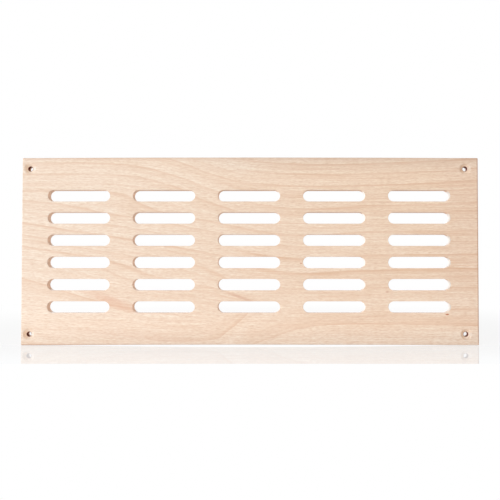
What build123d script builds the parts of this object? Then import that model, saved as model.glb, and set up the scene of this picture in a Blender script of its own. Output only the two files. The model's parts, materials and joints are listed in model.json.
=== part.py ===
from build123d import *
import os

# Wooden ventilation grille: one solid beech board, slotted and drilled to be screwed over an air opening.
# Millimetres. X runs along the board, Z is up, the back face lies on Y = 0 and the front face looks to -Y.

# Board
panel_length = 400.0
panel_height = 164.0
panel_thickness = 8.0
edge_spring = 0.5  # rise of both long edges at mid-length: the board has sprung a little
edge_round = 0.7  # sanded round along every outer edge

# Slots, routed right through with a round cutter
slot_width = 10.0  # diameter of the cutter
slot_length = 54.3  # from end to end
bridge_length = 20.3  # wood left between two slots of a row
bridge_height = 9.5  # wood left between two rows
least_end_border = 16.0  # wood kept free of slots at each end
least_side_border = 24.0  # wood kept free of slots above and below
slot_field_shift = -1.0  # the field of slots lies a little to the left of the middle
slot_rim_break = 0.25  # sanded break along the slot rims of the front

# Screw holes, one near each corner, countersunk from the front
screw_hole_diameter = 4.0
countersink_diameter = 10.0
countersink_angle = 110.0
left_land = 1.6  # wood between a left countersink and the end of the board
right_land = 6.1  # wood between a right countersink and the end of the board
side_land = 4.45  # wood between a countersink and the nearest long edge

# Places that follow from the sizes above
half_length = panel_length / 2
half_height = panel_height / 2
upper_left = (-half_length, half_height)
upper_right = (half_length, half_height)
lower_right = (half_length, -half_height)
lower_left = (-half_length, -half_height)
slot_pitch_x = slot_length + bridge_length
slot_pitch_z = slot_width + bridge_height
slot_columns = int((panel_length - 2 * least_end_border + bridge_length) / slot_pitch_x)
slot_rows = int((panel_height - 2 * least_side_border + bridge_height) / slot_pitch_z)
countersink_radius = countersink_diameter / 2
hole_left = -half_length + left_land + countersink_radius
hole_right = half_length - right_land - countersink_radius
hole_top = half_height - side_land - countersink_radius
hole_places = [(x, z) for x in (hole_left, hole_right) for z in (-hole_top, hole_top)]

back_plane = Plane.XZ
front_plane = Plane.XZ.offset(panel_thickness)

with BuildPart() as grille:
    # Planed board: flat faces, square ends, long edges that bow upwards, all outer edges eased
    with BuildSketch(back_plane):
        with BuildLine():
            Line(lower_left, upper_left)
            ThreePointArc(upper_left, (0, half_height + edge_spring), upper_right)
            Line(upper_right, lower_right)
            ThreePointArc(lower_right, (0, edge_spring - half_height), lower_left)
        make_face()
    extrude(amount=panel_thickness)
    fillet(grille.edges(), radius=edge_round)

    # Rows of round-ended slots, their rims broken on the front and left as cut on the back
    with BuildSketch(back_plane):
        with Locations((slot_field_shift, 0)):
            with GridLocations(slot_pitch_x, slot_pitch_z, slot_columns, slot_rows):
                SlotOverall(slot_length, slot_width)
    extrude(amount=panel_thickness, mode=Mode.SUBTRACT)
    front_rims = grille.edges(Select.LAST).group_by(Axis.Y)[0]
    chamfer(front_rims, length=slot_rim_break)

    # Countersunk screw holes
    with Locations(front_plane):
        with Locations(*hole_places):
            CounterSinkHole(
                radius=screw_hole_diameter / 2,
                counter_sink_radius=countersink_radius,
                counter_sink_angle=countersink_angle,
            )

grille.part.label = "grille_panel"
os.makedirs("parts", exist_ok=True)
export_step(grille.part, "parts/grille_panel.step")
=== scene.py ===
import json
import math

import bpy
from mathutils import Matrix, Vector


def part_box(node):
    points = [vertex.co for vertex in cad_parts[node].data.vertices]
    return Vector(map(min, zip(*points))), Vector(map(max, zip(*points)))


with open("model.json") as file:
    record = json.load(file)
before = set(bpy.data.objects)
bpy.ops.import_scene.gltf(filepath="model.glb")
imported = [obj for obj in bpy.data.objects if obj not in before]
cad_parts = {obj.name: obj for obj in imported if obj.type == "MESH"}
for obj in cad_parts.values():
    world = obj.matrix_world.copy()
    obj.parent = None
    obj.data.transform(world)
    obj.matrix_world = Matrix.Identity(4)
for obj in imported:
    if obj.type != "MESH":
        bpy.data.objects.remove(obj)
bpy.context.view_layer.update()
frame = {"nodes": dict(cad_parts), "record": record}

# Grille panel
# The whole grille is one flat-sawn beech board, planed, sanded and left bare. The slots are routed
# through it and the corner holes drilled and countersunk, so rings, fibres and flecks run on into every
# cut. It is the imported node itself, dressed with a wood that fills its whole thickness.
MM = 0.001
panel = frame["nodes"]["grille_panel"]
panel_low, panel_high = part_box("grille_panel")
panel_left = panel_low.x / MM
panel_right = panel_high.x / MM
panel_length = panel_right - panel_left
panel_thickness = (panel_high.y - panel_low.y) / MM
beech = bpy.data.materials.new("bare_beech")
beech.use_nodes = True
wood = beech.node_tree
wood.nodes.clear()


class Wire:
    """An output socket of a node tree. Sums on it add Math nodes, and node() adds any other node."""

    def __init__(self, socket):
        self.socket = socket

    @staticmethod
    def node(tree, kind, output=0, settings=None, sockets=None):
        """Adds a node. Stops are a ramp's (place, grey) pairs, points are a curve's (place, height) pairs."""
        made = tree.nodes.new("ShaderNode" + kind)
        for name, setting in (settings or {}).items():
            if name == "stops":
                made.color_ramp.elements.remove(made.color_ramp.elements[1])
                made.color_ramp.elements[0].color = (0.0, 0.0, 0.0, 1.0)
                for place, grey in setting:
                    made.color_ramp.elements.new(place).color = (grey, grey, grey, 1.0)
            elif name == "points":
                curve = made.mapping.curves[0]
                curve.points[0].location = setting[0]
                curve.points[1].location = setting[-1]
                for place in setting[1:-1]:
                    curve.points.new(*place)
                made.mapping.update()
            else:
                setattr(made, name, setting)
        for name, given in (sockets or {}).items():
            if isinstance(given, Wire):
                tree.links.new(given.socket, made.inputs[name])
            else:
                made.inputs[name].default_value = given
        return Wire(made.outputs[output]) if made.outputs else None

    def math(self, operation, *others):
        sockets = dict(enumerate((self, *others)))
        return Wire.node(self.socket.id_data, "Math", settings={"operation": operation}, sockets=sockets)

    def __add__(self, other):
        return self.math("ADD", other)

    def __sub__(self, other):
        return self.math("SUBTRACT", other)

    def __mul__(self, other):
        return self.math("MULTIPLY", other)

    def __truediv__(self, other):
        return self.math("DIVIDE", other)

    def __neg__(self):
        return self * -1.0

    def __rsub__(self, other):
        return -self + other

    def __abs__(self):
        return self.math("ABSOLUTE")

    __radd__ = __add__
    __rmul__ = __mul__


def swatch(red, green, blue):
    """A colour as read on a screen, 0 to 255, in the linear form that shaders take."""
    levels = [level / 255 for level in (red, green, blue)]
    return tuple(((level + 0.055) / 1.055) ** 2.4 for level in levels) + (1.0,)


def parts_of(vector):
    """The three parts of a vector."""
    first = Wire.node(vector.socket.id_data, "SeparateXYZ", sockets={"Vector": vector})
    return [Wire(socket) for socket in first.socket.node.outputs]


def distance(first, second):
    """How far off a place is that lies so far away in two directions at right angles."""
    return (first * first + second * second).math("SQRT")


def ease(value, low, high):
    """0 below low, 1 above high, smooth between them."""
    ends = {"Value": value, "From Min": low, "From Max": high}
    smooth = {"interpolation_type": "SMOOTHSTEP"}
    return Wire.node(value.socket.id_data, "MapRange", settings=smooth, sockets=ends)


def blend(share, first, second, way="MIX"):
    """One colour going over into another; sockets 6 and 7 are the Mix node's two colours."""
    settings = {"data_type": "RGBA", "clamp_factor": False, "blend_type": way}
    return Wire.node(wood, "Mix", 2, settings, {0: share, 6: first, 7: second})


def along_board(points, most=100.0):
    """A height in millimetres that changes along the board, through the (x, height) points given."""
    places = [((place - panel_left) / panel_length, height / most) for place, height in points]
    return Wire.node(wood, "FloatCurve", settings={"points": places}, sockets={"Value": share_along}) * most


def grains(across, length, height, seed, detail=2.0):
    """Cloudy noise about 0, in grains of that length along the board and that height across it, in mm."""
    stretched = {"X": x / length + seed, "Y": depth / height, "Z": across / height}
    place = Wire.node(wood, "CombineXYZ", sockets=stretched)
    return Wire.node(wood, "TexNoise", sockets={"Vector": place, "Scale": 1.0, "Detail": detail}) - 0.5


# Places on the board in millimetres: x and z from its middle, depth from its front face
x, from_back, z = (part / MM for part in parts_of(Wire.node(wood, "TexCoord", "Object")))
depth = from_back + panel_thickness
share_along = (x - panel_left) / panel_length

# Growth rings: a flat-sawn board cuts them lengthwise, so they show as long lines that run together in
# pointed arches. Heights count from the line along which the board comes nearest to the pith.
pith_height = -49.2
ring_lean = 0.35
fall_at_top = along_board([
    (-200, 3), (-167, 2.8), (-113, 4), (-92, 7), (-75, 11.5), (-57, 17), (-39, 24.1), (-9, 33),
    (4, 35.5), (36, 37.7), (111, 37.3), (188, 33.7), (200, 32.6)])
fall_in_middle = along_board([
    (-200, 3.3), (-188, 5.3), (-113, 16.8), (-39, 29.5), (36, 42.9), (111, 40.3), (200, 39.1)])
fall_near_pith = along_board([
    (-200, 3), (-188, 6.5), (-113, 27.6), (-39, 38.6), (0, 47), (36, 49.1), (111, 49.1), (200, 48.6)])
rise_below_pith = along_board([
    (-200, 31.6), (-158, 29.8), (-130, 27.6), (-97, 23.2), (-62, 20.6), (-31, 22.4), (-20, 28.9), (-7, 39.5),
    (2, 47.3), (9, 50), (31, 57.6), (41, 61), (50, 62.8), (66, 64.5), (85, 65.4), (200, 63.6)])
top_share = ease(z, 31.5, 57.8)
pith_share = 1.0 - ease(z, -29.9, -3.6)
fall = fall_in_middle + (fall_at_top - fall_in_middle) * top_share
fall = fall + (fall_near_pith - fall_in_middle) * pith_share
above_pith = z - pith_height + fall
below_pith = rise_below_pith + pith_height - z
wobble = grains(z, 70.0, 14.0, 1.3) + grains(z, 22.0, 3.5, 8.7) * 1.4 - depth * ring_lean
above_height = above_pith + wobble
below_height = below_pith + wobble
ring_height = above_height.math("SMOOTH_MAX", below_height, 5.0)

# Each ring darkens slowly up to its late-wood line, then starts again pale: (height, darkness of the line).
# Some lines fade out halfway along the board, so the left and the right half have lists of their own.
first_height = 14.0
ring_fade = 1.8
left_inner_lines = [
    (29.0, 0.8), (47.0, 0.5), (52.7, 0.6), (57.5, 0.7), (63.9, 0.5), (67.5, 0.75), (74.0, 0.4), (78.1, 0.9),
    (87.9, 0.4)]
left_outer_lines = [
    (97.5, 0.7), (106.2, 0.75), (112.0, 0.4), (120.3, 0.65), (130.0, 0.7), (143.1, 0.8), (150.5, 0.3)]
right_inner_lines = [
    (38.9, 0.3), (49.9, 0.4), (66.7, 0.6), (69.4, 0.4), (74.6, 0.4), (77.5, 1.0), (81.1, 0.35), (86.3, 1.0)]
right_outer_lines = [
    (97.3, 0.6), (107.0, 0.7), (117.5, 0.6), (124.5, 0.7), (129.3, 0.65), (137.7, 0.6), (144.9, 0.9),
    (155.2, 0.7), (164.1, 1.0)]
broad_arch = [(50.0, 0.8)]
thin_arch = [(79.9, 0.9)]


def ring_set(height, lines, first, fade):
    """Darkness of those rings, which start at the height first; each darkens over the last fade mm."""
    last = lines[-1][0] + 10.0
    stops = []
    for line, darkness in lines:
        for edge, grey in ((line - fade, 0.4 * darkness), (line - 0.2, darkness), (line + 0.4, 0.0)):
            stops.append(((edge - first) / (last - first), grey))
    share = (height - first) / (last - first)
    return Wire.node(wood, "ValToRGB", settings={"stops": stops}, sockets={"Fac": share})


def half_board(inner_lines, outer_lines):
    """The rings of one half of the board, in two lists, as one ramp can't hold them all."""
    inner = ring_set(above_height, inner_lines, first_height, ring_fade)
    return inner + ring_set(above_height, outer_lines, inner_lines[-1][0], ring_fade)


right_share = ease(x, -25.0, 25.0)
below_share = ease(below_pith - above_pith, -3.0, 3.0)
rings = half_board(left_inner_lines, left_outer_lines) * (1.0 - right_share)
rings = rings + half_board(right_inner_lines, right_outer_lines) * right_share
arches = ring_set(below_height, broad_arch, 30.0, 7.0) * (0.15 + 0.75 * ease(x, -60.0, -15.0))
arches = arches + ring_set(below_height, thin_arch, 60.0, 2.5)
rings = rings * (1.0 - below_share) + arches * below_share
ring_shade = rings * (0.88 + 1.2 * grains(ring_height, 48.0, 7.0, 4.1))

# Fibres: faint bands within the rings, and thin lines, strokes and dashes that run along the board and
# follow the fall of the rings only a little
fibre_slant = 0.2
fibre_line = z + fall * fibre_slant
bands = grains(ring_height, 120.0, 4.0, 12.9)
line_strength = 1.2 + 0.5 * share_along + 0.7 * ease(x, 140.0, 180.0)
thin_lines = grains(fibre_line, 60.0, 0.9, 5.6) * line_strength
long_strokes = ease(grains(fibre_line, 24.0, 1.0, 3.7), -0.05, 0.25)
short_strokes = grains(fibre_line, 6.0, 0.7, 6.2)
dashes = grains(fibre_line, 3.0, 0.8, 2.9, 1.0)
strokes = long_strokes * 0.4 + short_strokes * 2.2 + dashes * 1.4
pale_wood = swatch(244, 221, 199)
ring_brown = swatch(230, 194, 165)
stroke_brown = swatch(229, 197, 170)
colour = blend(ring_shade + bands * 0.9 + thin_lines, pale_wood, ring_brown)
colour = blend(strokes, colour, stroke_brown)

# Ray flecks: the small brown dashes of beech, edges of ribbons that reach deep into the board
fleck_place = Wire.node(wood, "CombineXYZ", sockets={"X": x / 7.0, "Y": depth / 9.0, "Z": z / 0.85})
fleck_gap = Wire.node(wood, "TexVoronoi", "Distance", sockets={"Vector": fleck_place, "Scale": 1.0})
flecks = 1.0 - ease(fleck_gap, 0.10, 0.34)
fleck_brown = swatch(206, 163, 130)
colour = blend(flecks * 0.3, colour, fleck_brown)

# Tone: the board is greyer at the left, warmer towards the right and browner at its right end. Its lower
# half is paler, and its lower edge and the middle of its upper edge are a little darker.
grey_tint = (0.957, 1.005, 1.062, 1.0)
warm_tint = (0.99, 0.96, 0.93, 1.0)
brown_tint = (0.955, 0.915, 0.9, 1.0)
pale_tint = (1.06, 1.08, 1.12, 1.0)
shade_tint = (0.88, 0.9, 0.935, 1.0)
brown_end = ease(x, 150.0, 185.0)
pale_half = 1.0 - ease(z, -90.0, 60.0)
low_shade = 1.0 - ease(z, -85.0, -62.0)
top_shade = ease(z, 64.0, 84.0) * ease(x, -90.0, 0.0)
tint = blend(share_along, grey_tint, warm_tint)
tint = blend(brown_end * 0.85, tint, brown_tint)
tint = blend(pale_half * 0.38, tint, pale_tint)
tint = blend(low_shade, tint, shade_tint)
tint = blend(top_shade * 0.7, tint, shade_tint)
colour = blend(1.0, colour, tint, "MULTIPLY")


# Marks of this board: a reddish streak of core wood low on the left, three small brown specks, a short
# leaning streak in the middle and a broad, very faint band along the lower left
def from_mark(mark_x, mark_z, half_length, half_height, lean):
    """Distance from the middle of an oval mark that leans, 1 at its rim."""
    along = (x - mark_x) / half_length
    across = (z - mark_z - (x - mark_x) * lean) / half_height
    return distance(along, across)


core_red = swatch(222, 170, 140)
core_share = 1.0 - ease(from_mark(-120.0, -44.12, 34.0, 7.5, -0.36), 0.2, 1.0)
core_share = core_share * (0.8 + 1.2 * grains(z, 16.0, 1.4, 9.4))
colour = blend(core_share * 0.55, colour, core_red)
mark_brown = swatch(190, 112, 70)
marks = [
    {"place": (172.4, -55.2), "half_size": (2.0, 0.75), "lean": 0.0, "strength": 1.0},
    {"place": (44.6, -10.6), "half_size": (1.2, 0.8), "lean": 0.0, "strength": 0.6},
    {"place": (120.0, -35.4), "half_size": (1.8, 1.2), "lean": 0.0, "strength": 0.3},
    {"place": (-8.0, -40.4), "half_size": (15.0, 1.7), "lean": -0.33, "strength": 0.3},
    {"place": (-100.0, -74.0), "half_size": (90.0, 5.5), "lean": -0.11, "strength": 0.07}]
for mark in marks:
    mark_share = 1.0 - ease(from_mark(*mark["place"], *mark["half_size"], mark["lean"]), 0.3, 1.1)
    colour = blend(mark_share * mark["strength"], colour, mark_brown)

# End grain: faces that point to the right, the left ends of the slots and the right end of the board, are
# browner, as end grain is, and also carry painted shade. The right ends of the slots, which face the key
# light, are painted pale as painted light, and in the last column they are greyer near the front as painted
# shade.
normal_x, _, normal_z = parts_of(Wire.node(wood, "NewGeometry", "Normal"))
end_share = ease(abs(normal_x), 0.4, 0.95)
shaded_end_grain = swatch(238, 207, 183)
painted_light_grain = swatch(247, 242, 239)
painted_shade_grain = swatch(217, 216, 212)
off_left_end = ease(x, panel_left + 1.0, panel_left + 2.0)
colour = blend(ease(normal_x, 0.4, 0.95), colour, shaded_end_grain)
front_shade_share = ease(x, 130.0, 165.0) * (1.0 - ease(depth, 0.0, panel_thickness))
lit_and_shaded_end_grain = blend(front_shade_share, painted_light_grain, painted_shade_grain)
colour = blend(ease(-normal_x, 0.45, 0.75) * off_left_end, colour, lit_and_shaded_end_grain)

# Outer edges: painted shade darkens the rounded right, upper and lower edges, where they turn away from the
# light, the lower one most of all at its left. Both long edges rise by the spring of the board at mid-length.
edge_spring = 0.5
edge_shade_brown = swatch(190, 143, 115)
off_middle = x / (panel_length / 2)
sprung = edge_spring * (1.0 - off_middle * off_middle)
from_low_edge = z - panel_low.z / MM - sprung
from_top_edge = panel_high.z / MM - edge_spring + sprung - z
right_edge_shade = ease(x, panel_right - 1.3, panel_right - 0.6)
low_edge = (1.0 - ease(from_low_edge, 0.5, 1.1)) * (0.5 - 0.4 * ease(share_along, 0.1, 0.45))
top_edge = (1.0 - ease(from_top_edge, 0.5, 4.0)) * 0.22
colour = blend(right_edge_shade * 0.7, colour, edge_shade_brown)
colour = blend(low_edge + top_edge, colour, edge_shade_brown)

# Screw holes: the drill has scorched the bores and left a brown ring at the foot of each countersink. The
# dark is painted strongest towards the front, where the bores lie in shade: painted shade. The left flank of
# each countersink lies in shade and is painted a little warmer, a painted tone of that shade.
holes = next(mount for mount in frame["record"]["mounts"] if mount["name"] == "screw_holes")
bore_radius = holes["dims"]["hole_r_mm"]
sink_radius = 5.0
from_hole_x = abs(x - holes["pos_m"][0] / MM) - holes["dims"]["spacing_x_mm"] / 2
from_hole_z = abs(z - holes["pos_m"][2] / MM) - holes["dims"]["spacing_y_mm"] / 2
from_hole = distance(from_hole_x, from_hole_z)
painted_flank_warmth = swatch(255, 206, 158)
shaded_flank_share = (1.0 - ease(from_hole, sink_radius - 0.6, sink_radius)) * ease(normal_x, 0.0, 0.5)
colour = blend(shaded_flank_share * 0.28, colour, painted_flank_warmth)
scorched_and_shaded_wood = swatch(110, 34, 8)
scorch_and_shade = 1.0 - ease(from_hole, bore_radius, bore_radius + 0.6)
scorch_and_shade = scorch_and_shade * (1.0 - ease(depth, 4.5, 7.5) * 0.9)
colour = blend(scorch_and_shade * 0.95, colour, scorched_and_shaded_wood)

# Long walls of the slots: the cutter leaves them so smooth that they shine at a flat angle, the lower ones
# most. The upper ones, which face down into shade, are painted warmer as a painted tone of that shade, the
# lower ones a little.
off_edges = ease(from_low_edge, 1.0, 2.0) * ease(from_top_edge, 1.0, 2.0)
in_slots = off_edges * ease(from_hole, sink_radius, sink_radius + 1.0)
upper_wall = ease(-normal_z, 0.75, 0.95) * in_slots
lower_wall = ease(normal_z, 0.75, 0.95) * in_slots
painted_wall_warmth = swatch(255, 206, 165)
colour = blend(upper_wall * 0.9 + lower_wall * 0.25, colour, painted_wall_warmth)
wall_sheen = upper_wall * 0.6 + lower_wall

# Surface: bare wood has next to no gloss. Strokes and flecks leave a relief of a few hundredths of a
# millimetre.
roughness = 0.55 + strokes * 0.06 + end_share * 0.15
relief = strokes * 0.5 - flecks * 0.6
bump = Wire.node(wood, "Bump", "Normal", sockets={"Strength": 0.25, "Distance": 0.05 * MM, "Height": relief})
surface = Wire.node(wood, "BsdfPrincipled", sockets={
    "Base Color": colour, "Roughness": roughness, "Specular IOR Level": 0.03, "Normal": bump,
    "Coat Weight": wall_sheen, "Coat Roughness": 0.15, "Coat IOR": 1.6})
Wire.node(wood, "OutputMaterial", sockets={"Surface": surface})
panel.data.materials.clear()
panel.data.materials.append(beech)

# Floor
# A plain white sheet on which the board stands for its picture. To the camera it is white but for a faint
# shadow close to the board, and it has a gloss that ends a hand's breadth in front of it. Where the sprung
# edge leaves a gap, the floor is painted whiter at flat angles, painted light as if coming through the gap,
# and the gloss starts a little further out.
floor_size = 8.0
gloss_reach = 116.0 * MM
gloss_edge = 1.5 * MM
gap_image = 13.0 * MM
gap_half_span = 170.0 * MM
back_of_board = panel_low.y - panel_high.y
shadow_reach = 20.0 * MM
white_near_board = 0.86
bpy.ops.mesh.primitive_plane_add(size=floor_size, location=(0.0, 0.0, panel_low.z))
floor = bpy.context.object
floor.name = "floor"
white_sheet = bpy.data.materials.new("white_sheet")
white_sheet.use_nodes = True
sheet = white_sheet.node_tree
sheet.nodes.clear()
floor_x, floor_y, _ = parts_of(Wire.node(sheet, "NewGeometry", "Position"))
in_front = panel_low.y - floor_y
off_gap = floor_x / gap_half_span
gap_share = (1.0 - off_gap * off_gap).math("MAXIMUM", 0.0)
past_gap = ease(in_front - gap_share * gap_image, 0.0, gloss_edge)
painted_gap_light = ease(in_front, back_of_board - 2.0 * MM, back_of_board) * (1.0 - past_gap)
painted_gap_light = painted_gap_light * ease(gap_share, 0.0, 0.1)
facing_away = Wire.node(sheet, "LayerWeight", "Facing")
painted_gap_light = painted_gap_light * ease(facing_away, 0.7, 0.87)
shadow_fade = ease(in_front, shadow_reach, gloss_reach)
off_shadow = ease(distance(floor_x, floor_y), 0.25, 0.7).math("MAXIMUM", shadow_fade)
off_shadow = off_shadow.math("MAXIMUM", painted_gap_light)
camera_ray = Wire.node(sheet, "LightPath", "Is Camera Ray")
white_share = camera_ray * (white_near_board + (1.0 - white_near_board) * off_shadow)
matte = Wire.node(sheet, "BsdfDiffuse", sockets={"Color": (0.9, 0.9, 0.9, 1.0)})
plain_white = Wire.node(sheet, "Emission", sockets={"Strength": 1.0})
lit = Wire.node(sheet, "MixShader", sockets={0: white_share, 1: matte, 2: plain_white})
gloss_share = past_gap * (1.0 - ease(in_front, gloss_reach - gloss_edge, gloss_reach))
sheen = Wire.node(sheet, "Fresnel", sockets={"IOR": 1.18}) * gloss_share * (0.66 + 0.36 * shadow_fade)
gloss = Wire.node(sheet, "BsdfGlossy", sockets={"Color": (0.95, 0.96, 0.97, 1.0), "Roughness": 0.03})
glossy_sheet = Wire.node(sheet, "MixShader", sockets={0: sheen, 1: lit, 2: gloss})
Wire.node(sheet, "OutputMaterial", sockets={"Surface": glossy_sheet})
floor.data.materials.append(white_sheet)

# Studio light
# A white room as the camera and reflections see it, and an even grey one for the light on the board. One
# softbox at the front left is the key light, and two low ones behind the board light the ends of the slots.
world = bpy.data.worlds.new("studio")
bpy.context.scene.world = world
world.use_nodes = True
room = world.node_tree
room.nodes.clear()
seen_directly = Wire.node(room, "LightPath", "Is Camera Ray")
seen_in_gloss = Wire.node(room, "LightPath", "Is Glossy Ray")
seen_through = Wire.node(room, "LightPath", "Is Transmission Ray")
seen = (seen_directly + seen_in_gloss + seen_through).math("MINIMUM", 1.0)
even_light = Wire.node(room, "Background", sockets={"Color": (1.0, 1.0, 1.0, 1.0), "Strength": 0.39})
white_room = Wire.node(room, "Background", sockets={"Color": (1.0, 1.0, 1.0, 1.0), "Strength": 1.0})
whole_room = Wire.node(room, "MixShader", sockets={0: seen, 1: even_light, 2: white_room})
Wire.node(room, "OutputWorld", sockets={"Surface": whole_room})


def softbox(name, place, width, height, power):
    """A soft white rectangular lamp at that place, aimed at the middle of the board, in metres and watts."""
    lamp = bpy.data.lights.new(name, "AREA")
    lamp.shape = "RECTANGLE"
    lamp.size = width
    lamp.size_y = height
    lamp.energy = power
    holder = bpy.data.objects.new(name, lamp)
    holder.location = place
    holder.rotation_euler = (-Vector(place)).to_track_quat("-Z", "Y").to_euler()
    bpy.context.scene.collection.objects.link(holder)


softbox("left_softbox", place=(-1.48, -2.11, 0.35), width=1.0, height=1.0, power=48.8)
softbox("right_back_softbox", place=(1.2, 0.9, 0.1), width=0.5, height=0.3, power=6.5)
softbox("left_back_softbox", place=(-1.0, 0.8, 0.1), width=0.6, height=0.4, power=8.0)

# Camera
# Close in front of the board, a little below its middle and to the right of it, tilted up by a degree and a
# half, with the picture shifted sideways so that the board comes out in the middle.
photo_width = 500.0
pixels_per_mm = 1.1422
sensor_width = 36.0
view_distance = 600.0
camera_right = 30.6
camera_height = -14.1
tilt_up = 1.453
picture_shift = -0.07
camera_data = bpy.data.cameras.new("camera")
camera_data.sensor_width = sensor_width
camera_data.lens = sensor_width * pixels_per_mm * view_distance / photo_width
camera_data.shift_x = picture_shift
camera = bpy.data.objects.new("camera", camera_data)
camera.location = (camera_right * MM, panel_low.y - view_distance * MM, camera_height * MM)
camera.rotation_euler = (math.radians(90.0 + tilt_up), 0.0, 0.0)
bpy.context.scene.collection.objects.link(camera)
bpy.context.scene.camera = camera
bpy.context.scene.view_settings.view_transform = "Standard"
